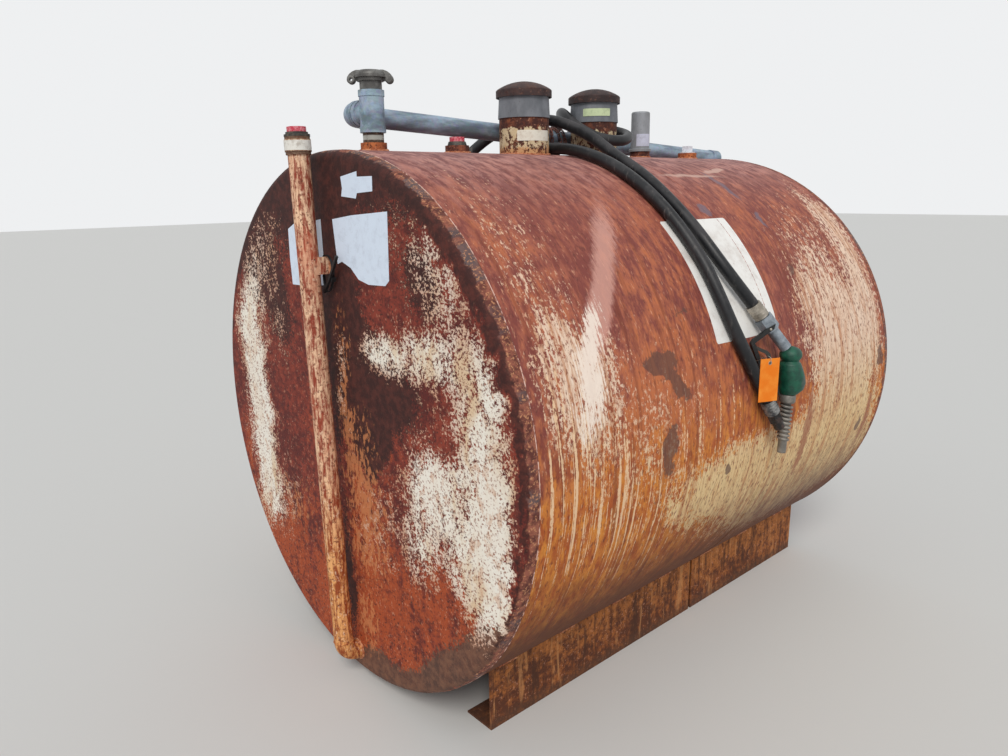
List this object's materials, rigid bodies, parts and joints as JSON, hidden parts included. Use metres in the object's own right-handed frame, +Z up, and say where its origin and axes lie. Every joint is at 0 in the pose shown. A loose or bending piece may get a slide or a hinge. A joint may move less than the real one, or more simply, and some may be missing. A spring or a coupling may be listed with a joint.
{
  "type": "horizontal double-wall fuel storage tank",
  "caption": "Rusted cylindrical steel storage tank lying on skids, with emergency vents, fill pipe, gauge and a loose fuel hose with its nozzle.",
  "frame": {"origin": "on the ground, below the middle of the tank and its pipework", "axes": "+X along the tank from the head with the upright pipe to the other head; the hose hangs on the -Y side; +Z up"},
  "size_m": [2.1864, 1.7026, 1.885],
  "materials": {
    "rusted_shell": "old cream paint worn off over red-brown rust",
    "rusted_skid": "rusted plate",
    "rusted_pipe": "peach and orange scale rust",
    "rusted_socket": "bright orange rust",
    "rusted_riser": "rust under peeling cream paint",
    "rusted_cap": "brown surface rust",
    "galvanised_pipe": "weathered zinc",
    "dull_aluminium": "dull, weathered casting",
    "grey_casting": "matt grey, streaked",
    "dark_casting": "dark, oily",
    "red_plug": "faded red plastic",
    "white_plug": "weathered white plastic",
    "hose_rubber": "dusty black cover",
    "ferrule_metal": "dull crimped sleeve",
    "green_cover": "dark green moulded cover",
    "black_guard": "black",
    "lever_metal": "dark, worn",
    "orange_tag": "plain card"
  },
  "bodies": {
    "tank": {"near_head": "rusted_shell", "far_head": "rusted_shell", "near_shell_course": "rusted_shell", "far_shell_course": "rusted_shell", "hose_side_skid_near": "rusted_skid", "hose_side_skid_far": "rusted_skid", "back_skid_near": "rusted_skid", "back_skid_far": "rusted_skid", "monitor_elbow": "rusted_pipe", "monitor_pipe": "rusted_pipe", "monitor_bracket": "rusted_pipe", "monitor_coupling": "rusted_pipe", "monitor_flange": "dark_casting", "monitor_plug": "red_plug", "fill_socket": "rusted_socket", "fill_nipple": "galvanised_pipe", "fill_tee": "galvanised_pipe", "fill_adapter": "dull_aluminium", "side_nipple": "galvanised_pipe", "side_elbow": "galvanised_pipe", "top_pipe": "galvanised_pipe", "top_pipe_sleeve": "galvanised_pipe", "small_port_socket": "rusted_socket", "small_port_bushing": "dark_casting", "red_plug": "red_plug", "front_vent_riser": "rusted_riser", "front_vent_hood": "grey_casting", "back_vent_riser": "rusted_riser", "back_vent_hood": "grey_casting", "gauge_socket": "rusted_socket", "gauge_hood": "grey_casting", "white_port_socket": "rusted_socket", "white_plug": "white_plug", "hose": "hose_rubber", "open_end_ferrule": "ferrule_metal", "open_end_fitting": "dark_casting", "nozzle_ferrule": "ferrule_metal", "nozzle_swivel": "dull_aluminium", "nozzle_body": "green_cover", "nozzle_spout": "dull_aluminium", "nozzle_guard": "black_guard", "tag": "orange_tag"},
    "fill_lid": {"fill_lid": "dull_aluminium"},
    "front_vent_cap": {"front_vent_cap": "rusted_cap"},
    "back_vent_cap": {"back_vent_cap": "rusted_cap"},
    "nozzle_lever": {"nozzle_lever": "lever_metal"}
  },
  "joints": [
    {"name": "fill_lid_hinge", "type": "hinge", "parent": "tank", "child": "fill_lid", "pos_m": [-0.79754, -0.03471, 1.8455], "axis": [0.6428, 0.766, 0], "range_deg": [0, 110]},
    {"name": "front_vent_lift", "type": "slide", "parent": "tank", "child": "front_vent_cap", "axis": [0, 0, 1], "range_m": [0, 0.025]},
    {"name": "back_vent_lift", "type": "slide", "parent": "tank", "child": "back_vent_cap", "axis": [0, 0, 1], "range_m": [0, 0.025]},
    {"name": "nozzle_lever_hinge", "type": "hinge", "parent": "tank", "child": "nozzle_lever", "pos_m": [0.02189, -0.81885, 0.94625], "axis": [0.4067, 0.9135, 0], "range_deg": [0, 12], "stiffness_Nm_per_rad": 2, "springref_deg": -11.46}
  ]
}
